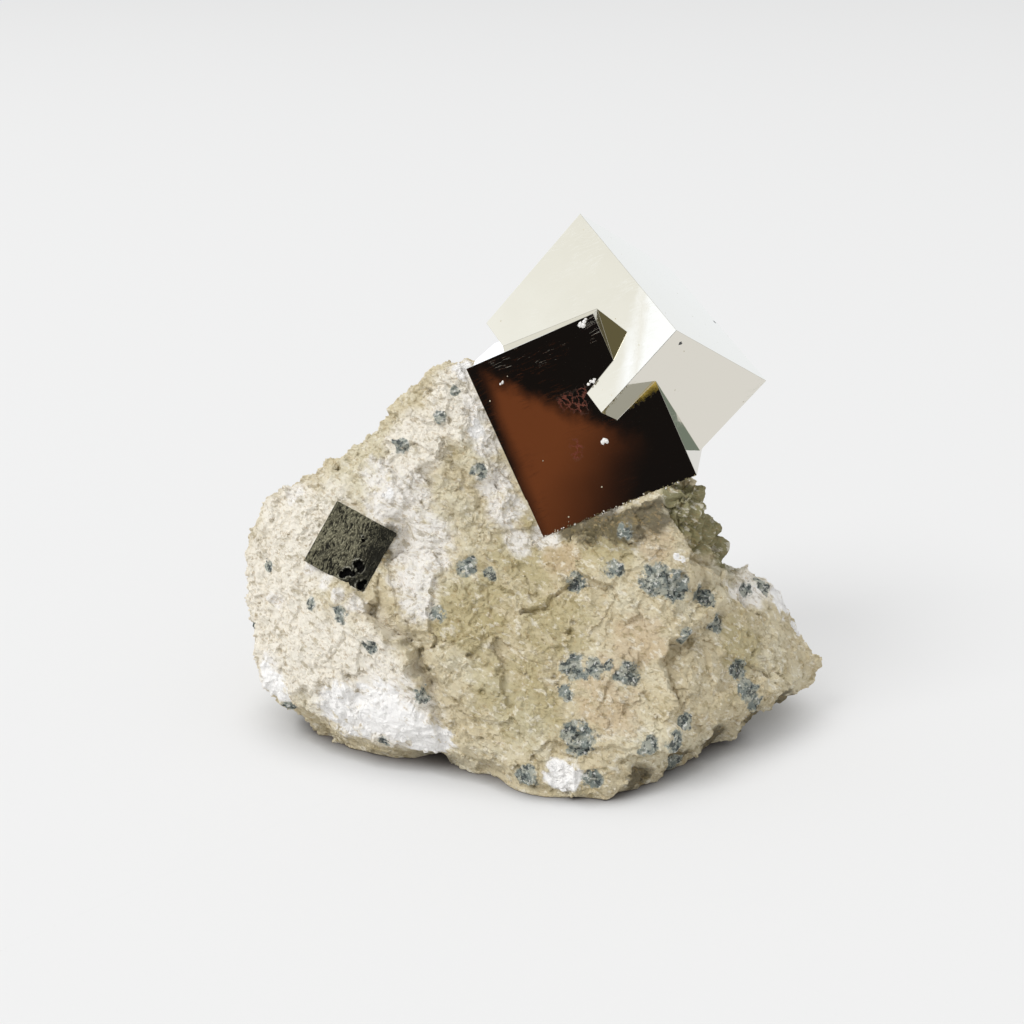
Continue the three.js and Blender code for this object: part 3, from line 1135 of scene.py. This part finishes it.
    @staticmethod
    def cloud(points: Array, size: float, seed: float) -> Array:
        """Smooth noise from about -1 to 1.

        Args:
            points: Places in millimetres.
            size: The noise's wavelength.
            seed: Shifts the noise, so that two of them differ.

        Returns:
            One value for each place.
        """
        shift = Vector((seed, seed * 1.7, -seed))
        return np.array([noise.noise(Vector(p) + shift) for p in points / size])

    @staticmethod
    def shaken(points: Array, size: float, reach: float) -> Array:
        """Shifts places a little, so that the facets' borders aren't straight.

        Args:
            points: Places in millimetres.
            size: The wavelength of the shift.
            reach: How far a place is shifted.

        Returns:
            The shifted places.
        """
        shift = np.array([noise.noise_vector(Vector(p)) for p in points / size])
        return points + shift * reach

    @staticmethod
    def faceted(points: Array, number: int) -> Array:
        """Cells that are each flat and tilted their own way, with small steps between them.

        Args:
            points: Places in units of one cell.
            number: Gives each layer its own cells.

        Returns:
            Heights from about -0.5 to 0.5.
        """
        heights = np.zeros(len(points))
        seed = Vector((11.3, 4.1, 7.9)) * (number + 1)
        for i, point in enumerate(points):
            place = Vector(point) + seed
            middle = noise.voronoi(place)[1][0]
            tilt = noise.cell_vector(middle * 37.0) - Vector((0.5, 0.5, 0.5))
            heights[i] = tilt.dot(place - middle) + (noise.cell(middle * 53.0) - 0.5) * 0.27
        return heights

    @staticmethod
    def rubble(points: Array) -> Array:
        """Fine broken grain, in several sizes down to half a millimetre.

        Args:
            points: Places in millimetres.

        Returns:
            Heights in millimetres.
        """
        clumps = [
            noise.turbulence(Vector(point) / 3.4, 4, True, amplitude_scale=0.62, frequency_scale=2.1)
            for point in points
        ]
        return (np.array(clumps) - 0.55) * 0.76

    def knobs(self, points: Array) -> Array:
        """Rounded knobs on the weathered patch at the upper right.

        Args:
            points: Places in millimetres.

        Returns:
            Heights in millimetres.
        """
        side = self.ledges[self.knobs_border].beside(points)[0]
        away = np.linalg.norm(points - np.array(self.knobs_middle), axis=1)
        inside = (1.0 - smoothstep(*self.knobs_reach, away)) * smoothstep(-0.3, 0.5, side)
        heights = np.zeros(len(points))
        for i in np.nonzero(inside > 0)[0]:
            near = noise.voronoi(Vector(points[i]) / self.knob_size)[0]
            heights[i] = (near[1] - near[0]) ** 0.5 * self.knob_height - self.knob_sink
        return heights * inside

    @staticmethod
    def pits(points: Array) -> Array:
        """Small holes left by lost grains, in patches.

        Args:
            points: Places in millimetres.

        Returns:
            Depths in millimetres.
        """
        depths = np.zeros(len(points))
        for i, point in enumerate(points):
            place = Vector(point) / 2.3
            near, middles = noise.voronoi(place)[:2]
            if near[0] < 0.28 and noise.cell(middles[0] * 71.0) > 0.72:
                depths[i] = 0.75 * (1.0 - (near[0] / 0.28) ** 2)
        return depths

    def close_onto(self, points: Array, crystals: BVHTree) -> Array:
        """Closes the sockets' clearance, so that the stone grips its crystals.

        Args:
            points: The vertices, in millimetres.
            crystals: The crystals' surface.

        Returns:
            The moved vertices.
        """
        distance, nearest, normals = self.clearance(points, crystals)
        target = nearest - normals * self.overlap
        pull = 1.0 - smoothstep(self.contact - 0.1, self.contact + 0.15, distance)
        return points + (target - points) * pull[:, None]

    def thin_out(self, stone: Piece) -> None:
        """Drops triangles where the stone is flat, down to the most that a piece may have."""
        triangles = 2 * len(stone.data.polygons)
        if triangles > self.most_triangles:
            apply_modifier(stone, "DECIMATE", ratio=self.most_triangles / triangles)

    def paint(self, stone: Piece) -> None:
        """Stores where the stone is hollow or proud, and where its marks lie."""
        height = stored(stone, "height")
        stone.data.attributes.remove(stone.data.attributes["height"])
        store(stone, "hollow", smoothstep(-0.05, -0.8, height))
        store(stone, "proud", smoothstep(0.05, 0.7, height))
        surface = surface_of(stone)
        points, normals = points_of(stone), normals_of(stone)
        behind = points[(normals[:, 1] > 0.0) & (points[:, 1] > 6.0) & (points[:, 2] > 1.0)]
        self.marks.lay(stone, surface, behind)


def surface_of(piece: Piece) -> BVHTree:
    """The piece's surface, for casting rays at it."""
    corners = [vertex.co.copy() for vertex in piece.data.vertices]
    return BVHTree.FromPolygons(corners, [list(polygon.vertices) for polygon in piece.data.polygons])


# ---------------------------------------------------------------------------------------------
# The crystals
# ---------------------------------------------------------------------------------------------


@dataclass
class IntergrownCubes:
    """The dark cube and the pale crystal as one body, with edges as crisp as grown ones are."""

    edge: float = 0.06

    def build(self) -> Piece:
        """Builds the intergrown crystals.

        Returns:
            The finished crystals.
        """
        crystals = copy_of(Node.CRYSTALS, "polished_crystals")
        edit(crystals, bpy.ops.mesh.dissolve_limited, angle_limit=math.radians(0.5))
        apply_modifier(
            crystals, "BEVEL", width=self.edge * MM, segments=1, limit_method="ANGLE",
            angle_limit=math.radians(20),
        )
        self.mark_faces(crystals)
        crystals.data.materials.append(PolishedPyrite().build())
        hand_over(crystals, Slot.POLISHED, Node.CRYSTALS)
        return crystals

    @staticmethod
    def mark_faces(crystals: Piece) -> None:
        """Stores which faces are the dark cube's front, and which carry a painted dark reflection: its upper
        block's side.

        Args:
            crystals: The finished crystals.
        """
        side, inward, _ = DARK_CUBE.rotation().col
        reflection_darkened, front = [], []
        for polygon in crystals.data.polygons:
            middle = DARK_CUBE.local(np.array(polygon.center) / MM)
            reflection_darkened.append(float(polygon.normal.dot(side) > 0.98 and middle[2] > 14.7))
            front.append(float(polygon.normal.dot(inward) < -0.98 and abs(middle[1]) < 0.1))
        for name, values in (("painted_dark_reflection", reflection_darkened), ("dark_front", front)):
            attribute = crystals.data.attributes.new(name, "FLOAT", "FACE")
            attribute.data.foreach_set("value", values)


@dataclass
class SmallCube:
    """The small cube in the left shoulder: striated, dull and pitted."""

    cuts: int = 100
    # Pits on the front face as (across, up, radius) in millimetres from its lower left corner.
    pits: tuple[tuple[float, float, float], ...] = (
        (6.3, 2.9, 0.60), (6.9, 2.6, 0.50), (5.6, 1.5, 0.60), (5.3, 0.8, 0.50), (6.3, 1.5, 0.45),
        (7.9, 0.7, 0.60), (8.2, 1.3, 0.35), (5.2, 6.3, 0.22), (5.4, 5.9, 0.18),
    )

    def build(self) -> Piece:
        """Builds the small cube.

        Returns:
            The finished cube.
        """
        low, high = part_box(Node.SMALL_CUBE.value)
        middle = (low + high) / 2 / MM
        edge = self.edge_length(high - low)
        pose = Pose(tuple(middle), SMALL_CUBE_TURNS)
        deselect()
        bpy.ops.mesh.primitive_cube_add(size=edge * MM)
        cube = bpy.context.object
        cube.name = "striated_cube"
        edit(cube, bpy.ops.mesh.subdivide, number_cuts=self.cuts)
        local, ridge_and_shade, pit, rim = self.weathered(points_of(cube), edge)
        move_points(cube, pose.world(local))
        for name, values in (("ridge_and_shade", ridge_and_shade), ("pit", pit), ("rim", rim)):
            store(cube, name, values)
        cube.data.materials.append(StriatedPyrite().build())
        hand_over(cube, Slot.STRIATED, Node.SMALL_CUBE)
        return cube

    @staticmethod
    def edge_length(extent: Vector) -> float:
        """The cube's edge, from the size of the box round the turned cube.

        Args:
            extent: The box's size in metres.

        Returns:
            The edge in millimetres.
        """
        rows = np.abs(np.array(Pose((0, 0, 0), SMALL_CUBE_TURNS).rotation())).sum(axis=1)
        return float(np.mean(np.array(extent) / rows)) / MM

    def weathered(self, local: Array, edge: float) -> tuple[Array, ...]:
        """Gives the cube its striations, pits and worn corners.

        Args:
            local: The vertices on the cube's own axes, from its middle.
            edge: The cube's edge.

        Returns:
            The moved vertices, how bright each is from ridges less painted shade, and how much of pit and rim
            there is at each.
        """
        half = edge / 2
        face = np.argmax(np.abs(local), axis=1)
        outward = np.zeros_like(local)
        outward[np.arange(len(local)), face] = np.sign(local[np.arange(len(local)), face])
        streak = np.empty(len(local))
        for i, place in enumerate(local):
            # Each face's striations run at right angles to its neighbours', as pyrite's do.
            x, y, z = np.roll(place, -face[i])
            wavy = z + 0.5 * noise.noise(Vector((x * 0.8, y * 0.8, z * 0.8)))
            streak[i] = noise.fractal(Vector((x, y * 0.9, wavy * 3.2)) * 1.75, 0.6, 2.2, 4)
        blotch = np.array([noise.noise(Vector(place) / 1.3) for place in local])
        inset = half - np.sort(np.abs(local), axis=1)[:, 1]
        calm = smoothstep(0.0, 0.35, inset)
        lift = (0.07 * streak + 0.07 * blotch) * calm
        pit, rim = np.zeros(len(local)), np.zeros(len(local))
        on_front = local[:, 1] < -half + 1e-3
        for across, up, radius in self.pits:
            flat = np.stack([local[:, 0] + half - across, local[:, 2] + half - up], axis=1)
            shaped = np.linalg.norm(flat, axis=1) + 0.30 * blotch + 0.12 * streak
            pit = np.maximum(pit, on_front * (1.0 - smoothstep(radius * 0.8, radius, shaped)))
            band = 1.0 - np.clip(np.abs(shaped - radius * 1.15) / (0.3 * radius), 0.0, 1.0)
            rim = np.maximum(rim, on_front * band * 0.6 * smoothstep(-0.3, 0.3, blotch + streak))
        rim = rim * (1.0 - pit)
        lift = lift - 0.75 * pit + 0.05 * rim
        worn = local + outward * np.minimum(lift, 0.10)[:, None]
        crest = np.clip(1.0 - 6.0 * np.abs(streak - 0.05), 0.0, 1.0)
        # Painted shade: the cube darkens towards its right side; random blotches darken the front too.
        shade = 0.58 * smoothstep(-0.02, 0.42, local[:, 0] / edge)
        shade = shade + 0.25 * on_front * smoothstep(0.1, 0.5, blotch)
        return worn, np.clip(0.33 + 0.55 * streak + 0.60 * crest - shade, 0.0, 1.0), pit, rim


# ---------------------------------------------------------------------------------------------
# Grains
# ---------------------------------------------------------------------------------------------


@dataclass
class LooseGrains:
    """Angular grains of marl that stand up from the stone, and crumbs that cling to the crystals."""

    count: int = 7000
    seed: int = 5
    smallest: float = 0.16
    largest: float = 0.50
    # Crumbs on the dark cube's front as (across, up, radius) from its lower left corner.
    crumbs: tuple[tuple[float, float, float], ...] = (
        (12.2, 8.5, 0.34), (12.7, 8.4, 0.34), (12.45, 8.6, 0.28), (15.6, 23.2, 0.36), (16.2, 23.3, 0.34),
        (16.5, 23.5, 0.24), (15.9, 22.9, 0.30), (3.6, 20.4, 0.20), (3.25, 20.3, 0.13), (13.5, 15.9, 0.26),
        (13.9, 16.15, 0.30), (14.4, 16.2, 0.26), (14.2, 16.0, 0.22),
    )
    edge_grains: int = 130

    def build(self, stone: Piece) -> Piece:
        """Builds the grains as one mesh.

        Args:
            stone: The finished stone, which the grains sit in.

        Returns:
            The finished grains.
        """
        dice = np.random.default_rng(self.seed)
        places, sizes, white = self.scatter(stone, dice)
        template, faces = self.template()
        corners = []
        for place, size in zip(places, sizes):
            turn = Euler(dice.uniform(0, 2 * math.pi, 3)).to_matrix()
            stretch = dice.uniform(0.6, 1.25, 3)
            ragged = template * stretch * dice.uniform(0.75, 1.25, (len(template), 1))
            corners.append(ragged @ np.array(turn).T * size + place)
        joined = np.concatenate(corners)
        steps = np.arange(len(places)) * len(template)
        all_faces = (faces[None, :, :] + steps[:, None, None]).reshape(-1, 3)
        joined[:, 2] = np.maximum(joined[:, 2], 0.02)
        mesh = bpy.data.meshes.new("marl_grains")
        mesh.from_pydata((joined * MM).tolist(), [], all_faces.tolist())
        grains = add_object("marl_grains", mesh)
        self.paint(grains, stone, np.repeat(white, len(template)))
        mesh.materials.append(stone.data.materials[0])
        hand_over(grains, Slot.MARL)
        return grains

    @staticmethod
    def template() -> tuple[Array, Array]:
        """One small ball of twenty triangles, which every grain is a copy of.

        Returns:
            Its corners at unit size, and its triangles.
        """
        deselect()
        bpy.ops.mesh.primitive_ico_sphere_add(subdivisions=1, radius=1.0)
        ball = bpy.context.object
        corners = points_of(ball) * MM
        faces = np.array([list(polygon.vertices) for polygon in ball.data.polygons])
        bpy.data.objects.remove(ball)
        return corners, faces

    def scatter(self, stone: Piece, dice: np.random.Generator) -> tuple[Array, ...]:
        """Chooses the grains' places and sizes.

        Args:
            stone: The finished stone.
            dice: The source of random numbers.

        Returns:
            Places and sizes in millimetres, and which grains are white.
        """
        points, normals = points_of(stone), normals_of(stone)
        crystals = MarlMatrix.crystal_surface()
        chosen = dice.choice(len(points), self.count, replace=False)
        clear = MarlMatrix.clearance(points[chosen], crystals)[0]
        chosen = chosen[(clear > 0.7) & (points[chosen, 2] > 0.6)]
        sizes = self.smallest + (self.largest - self.smallest) * dice.random(len(chosen)) ** 2.5
        places = points[chosen] - normals[chosen] * (0.25 * sizes)[:, None]
        crumbs = np.array([(across, -0.3 * radius, up) for across, up, radius in self.crumbs])
        across = dice.uniform(0.2, 21.2, self.edge_grains)
        proud = dice.uniform(-0.25, 0.05, len(across))
        along = np.stack([across, proud, dice.normal(0.05, 0.12, len(across))], axis=1)
        edge_sizes = dice.uniform(0.04, 0.13, len(across))
        places = np.concatenate([places, DARK_CUBE.world(crumbs), DARK_CUBE.world(along)])
        sizes = np.concatenate([sizes, [radius for _, _, radius in self.crumbs], edge_sizes])
        white = np.concatenate([np.zeros(len(chosen)), np.ones(len(crumbs)), dice.random(len(along)) > 0.75])
        return places, sizes, white

    def paint(self, grains: Piece, stone: Piece, white: Array) -> None:
        """Gives each grain the stone's stains and painted shade at its place, and makes the crumbs chalky.

        Args:
            grains: The joined grains.
            stone: The finished stone.
            white: Which vertices are chalk white.
        """
        surface = surface_of(stone)
        nearest = np.zeros(len(white), int)
        for i, point in enumerate(points_of(grains) * MM):
            face = surface.find_nearest(point)[2]
            nearest[i] = stone.data.polygons[face].vertices[0]
        for name in (*MARK_NAMES, "hollow", "proud"):
            chalky = 1.4 if name == "crust" else 0.0
            store(grains, name, np.where(white > 0, chalky, stored(stone, name)[nearest]))


# ---------------------------------------------------------------------------------------------
# Studio
# ---------------------------------------------------------------------------------------------


@dataclass(frozen=True)
class Card:
    """A glowing panel that only the mirror faces see, with its places and size in millimetres."""

    name: str
    middle: tuple[float, float, float]
    aim: tuple[float, float, float]
    size: tuple[float, float]
    light: tuple[float, float, float] = (0.0, 0.0, 0.0)


@dataclass
class Studio:
    """A pale sweep, soft light from the upper left, and the panels that the mirror faces reflect."""

    floor_size: float = 8.0
    floor_glow: float = 0.475
    floor_shade: float = 0.36
    shadow_reach: float = 10.0
    contact_shadow_reach: float = 3.2
    cards: tuple[Card, ...] = (
        Card("back_softbox", (160, 640, 190), (14, 5, 56), (700, 330), (1.11, 1.16, 1.24)),
        Card("behind_panel", (-15, 450, 0.6), (-15, 450, 100), (170, 260), (1.42, 1.46, 1.60)),
        Card("low_panel", (95, 0, 0.6), (95, 0, 100), (130, 120), (1.13, 1.15, 1.23)),
        Card("grey_right", (89.2, 4.5, 1.2), (89.2, 4.5, 100), (40, 10), (0.33, 0.41, 0.39)),
        Card("grey_right_rear", (85, 29.5, 1.2), (85, 29.5, 100), (50, 40), (0.33, 0.41, 0.39)),
        Card("grey_near", (44, -27, 1.2), (44, -27, 100), (22, 14), (0.74, 0.77, 0.80)),
    )
    camera_place: tuple[float, float, float] = (-2.76, -206.065, 103.61)
    camera_down: float = 20.0
    camera_angle: float = 34.17

    def build(self) -> None:
        """Builds the floor, the light and the camera."""
        self.floor()
        self.world()
        self.key_light()
        for card in self.cards:
            self.panel(card, self.glow(card.name, (*card.light, 1.0)))
        self.left_softbox()
        self.dark_flag()
        self.camera()

    def floor(self) -> None:
        """The pale sweep that the specimen stands on, with painted shadows: its glow is dimmed and its colour
        darkened near the stone.
        """
        deselect()
        bpy.ops.mesh.primitive_plane_add(size=self.floor_size)
        floor = bpy.context.object
        floor.name = "sweep"
        material, tree = new_material("pale_sweep")
        shade = self.floor_shade
        # Painted shadow: ambient occlusion within shadow_reach dims the floor's glow near the stone.
        shadow_ao = add_node(tree, "AmbientOcclusion", {"samples": 12}, Distance=self.shadow_reach * MM)
        glow = add_node(
            tree, "MapRange", {"interpolation_type": "SMOOTHSTEP"},
            Value=shadow_ao.outputs["AO"], From_Min=0.12, From_Max=0.92,
            To_Min=0.20 * self.floor_glow, To_Max=self.floor_glow,
        )
        # Painted contact shadow: where the stone nearly touches, the glow fades out and the colour turns dark
        # brown.
        contact_shadow_ao = add_node(tree, "AmbientOcclusion", {"samples": 8}, Distance=self.contact_shadow_reach * MM)
        clear = add_node(tree, "MapRange", Value=contact_shadow_ao.outputs["AO"], From_Min=0.05, From_Max=0.90)
        strength = add_node(
            tree, "Math", {"operation": "MULTIPLY"}, n0=glow.outputs[0], n1=clear.outputs[0]
        )
        colour = add_node(
            tree, "Mix", {"data_type": "RGBA"},
            n0=clear.outputs[0], n6=(0.10, 0.085, 0.075, 1.0), n7=(shade, shade, shade, 1.0),
        )
        shader = add_node(
            tree, "BsdfPrincipled",
            Base_Color=colour.outputs[2], Roughness=1.0, Specular_IOR_Level=0.0,
            Emission_Color=(1.0, 0.995, 0.985, 1.0), Emission_Strength=strength.outputs[0],
        )
        add_node(tree, "OutputMaterial", Surface=shader.outputs[0])
        floor.data.materials.append(material)

    @staticmethod
    def world() -> None:
        """Soft light from all sides, a little cool."""
        world = bpy.data.worlds.new("soft_room")
        bpy.context.scene.world = world
        world.use_nodes = True
        sky = world.node_tree.nodes["Background"]
        sky.inputs["Color"].default_value = (0.965, 0.98, 1.0, 1.0)
        sky.inputs["Strength"].default_value = 0.75

    @staticmethod
    def key_light() -> None:
        """The main softbox, above and to the left of the camera."""
        place = Vector((-1.61, -1.09, 2.24))
        light = bpy.data.lights.new("key_softbox", "AREA")
        light.energy = 50.7
        light.size = 1.43
        key = add_object("key_softbox", light)
        key.location = place
        key.rotation_euler = (Vector((0, 0, 0.03)) - place).to_track_quat("-Z", "Y").to_euler()

    @staticmethod
    def glow(name: str, light: tuple[float, float, float, float]) -> bpy.types.Material:
        """A plain glowing material.

        Args:
            name: The material's name.
            light: The light's colour, brighter than one where it needs to be.

        Returns:
            The material.
        """
        material, tree = new_material(name)
        shader = add_node(tree, "Emission", Color=light)
        add_node(tree, "OutputMaterial", Surface=shader.outputs[0])
        return material

    @staticmethod
    def panel(card: Card, material: bpy.types.Material) -> None:
        """Adds a panel that only reflections show.

        Args:
            card: The panel's size and place.
            material: What it glows with.
        """
        deselect()
        bpy.ops.mesh.primitive_plane_add(size=1.0)
        panel = bpy.context.object
        panel.name = card.name
        facing = (Vector(card.aim) - Vector(card.middle)).to_track_quat("Z", "Y").to_matrix().to_4x4()
        stretch = Matrix.Diagonal((card.size[0] * MM, card.size[1] * MM, 1.0, 1.0))
        panel.data.transform(Matrix.Translation(Vector(card.middle) * MM) @ facing @ stretch)
        panel.data.materials.append(material)
        panel.visible_camera = False
        panel.visible_diffuse = False
        panel.visible_shadow = False

    def left_softbox(self) -> None:
        """The softbox that the pale crystal's long face mirrors, with a bright slanted block."""
        card = Card("left_softbox", (-300, 30, 230), (5, 4, 56), (330, 330))
        material, tree = new_material("left_softbox")
        place = object_millimetres(tree)
        _, along, up = add_node(tree, "SeparateXYZ", Vector=place).outputs
        aslant = add_node(tree, "Math", {"operation": "MULTIPLY_ADD"}, n0=up, n1=-0.53, n2=along).outputs[0]
        cloud = add_node(tree, "TexNoise", Vector=place, Scale=1 / 12.0, Detail=6.0, Roughness=0.65)
        ragged = add_node(
            tree, "Math", {"operation": "MULTIPLY_ADD"}, n0=cloud.outputs["Fac"], n1=12.0, n2=aslant
        ).outputs[0]
        block = add_node(
            tree, "MapRange", {"interpolation_type": "SMOOTHSTEP"},
            Value=ragged, From_Min=-106.0, From_Max=-111.5,
        ).outputs[0]
        drifting = add_node(
            tree, "Math", {"operation": "MULTIPLY_ADD"}, n0=cloud.outputs["Fac"], n1=50.0, n2=up
        ).outputs[0]
        dimmer = add_node(tree, "MapRange", Value=drifting, From_Min=215.0, From_Max=280.0).outputs[0]
        plain = add_node(
            tree, "Mix", {"data_type": "RGBA"},
            n0=dimmer, n6=(1.44, 1.50, 1.60, 1.0), n7=(1.29, 1.33, 1.38, 1.0),
        ).outputs[2]
        light = add_node(
            tree, "Mix", {"data_type": "RGBA"}, n0=block, n6=plain, n7=(1.68, 1.80, 2.10, 1.0)
        ).outputs[2]
        shader = add_node(tree, "Emission", Color=light)
        add_node(tree, "OutputMaterial", Surface=shader.outputs[0])
        self.panel(card, material)

    def dark_flag(self) -> None:
        """The dark side of the room, with a brown glow low left, which the dark cube's front mirrors."""
        card = Card("dark_flag", (-38, -160, 30), (-38, 0, 30), (96, 62))
        material, tree = new_material("dark_flag")
        place = object_millimetres(tree)
        cloud = add_node(tree, "TexNoise", Vector=place, Scale=1 / 3.5, Detail=7.0, Roughness=0.75)
        wide = add_node(tree, "TexNoise", Vector=place, Scale=1 / 22.0, Detail=2.0)
        across, _, up = add_node(tree, "SeparateXYZ", Vector=place).outputs
        ragged = add_node(
            tree, "Math", {"operation": "MULTIPLY_ADD"}, n0=cloud.outputs["Fac"], n1=9.0, n2=up
        ).outputs[0]
        leaning = add_node(
            tree, "Math", {"operation": "MULTIPLY_ADD"}, n0=across, n1=0.342, n2=ragged
        ).outputs[0]
        aslant = add_node(
            tree, "Math", {"operation": "MULTIPLY_ADD"}, n0=up, n1=-0.45, n2=across
        ).outputs[0]
        drifting = add_node(
            tree, "Math", {"operation": "MULTIPLY_ADD"}, n0=wide.outputs["Fac"], n1=9.0, n2=aslant
        ).outputs[0]
        edge = add_node(tree, "Math", {"operation": "MULTIPLY_ADD"}, n0=up, n1=0.41, n2=across).outputs[0]
        level = None
        for value, dark, bright in ((leaning, 24.8, 19.5), (drifting, -22.0, -47.0), (edge, -43.8, -39.3)):
            fade = add_node(
                tree, "MapRange", {"interpolation_type": "SMOOTHSTEP"},
                Value=value, From_Min=dark, From_Max=bright,
            ).outputs[0]
            level = fade if level is None else add_node(
                tree, "Math", {"operation": "MULTIPLY"}, n0=level, n1=fade
            ).outputs[0]
        colour = add_node(
            tree, "Mix", {"data_type": "RGBA"},
            n0=level, n6=(0.012, 0.010, 0.010, 1.0), n7=(0.225, 0.070, 0.028, 1.0),
        )
        shader = add_node(tree, "Emission", Color=colour.outputs[2])
        add_node(tree, "OutputMaterial", Surface=shader.outputs[0])
        self.panel(card, material)

    def camera(self) -> None:
        """The camera, which looks down on the specimen."""
        scene = bpy.context.scene
        data = bpy.data.cameras.new("camera")
        data.angle = math.radians(self.camera_angle)
        data.clip_start, data.clip_end = 0.01, 20.0
        camera = add_object("camera", data)
        camera.location = Vector(self.camera_place) * MM
        camera.rotation_euler = (math.radians(90 - self.camera_down), 0, 0)
        scene.camera = camera
        scene.view_settings.view_transform = "Standard"


def main() -> None:
    """Builds the stone, the crystals, the grains and the studio, in that order."""
    logging.basicConfig(level=logging.INFO, format="%(name)s: %(message)s")
    # Without a seed, mathutils shifts its noise vectors by the time of day.
    noise.seed_set(NOISE_SEED)
    stone = MarlMatrix().build()
    IntergrownCubes().build()
    SmallCube().build()
    LooseGrains().build(stone)
    Studio().build()


if __name__ == "__main__":
    main()
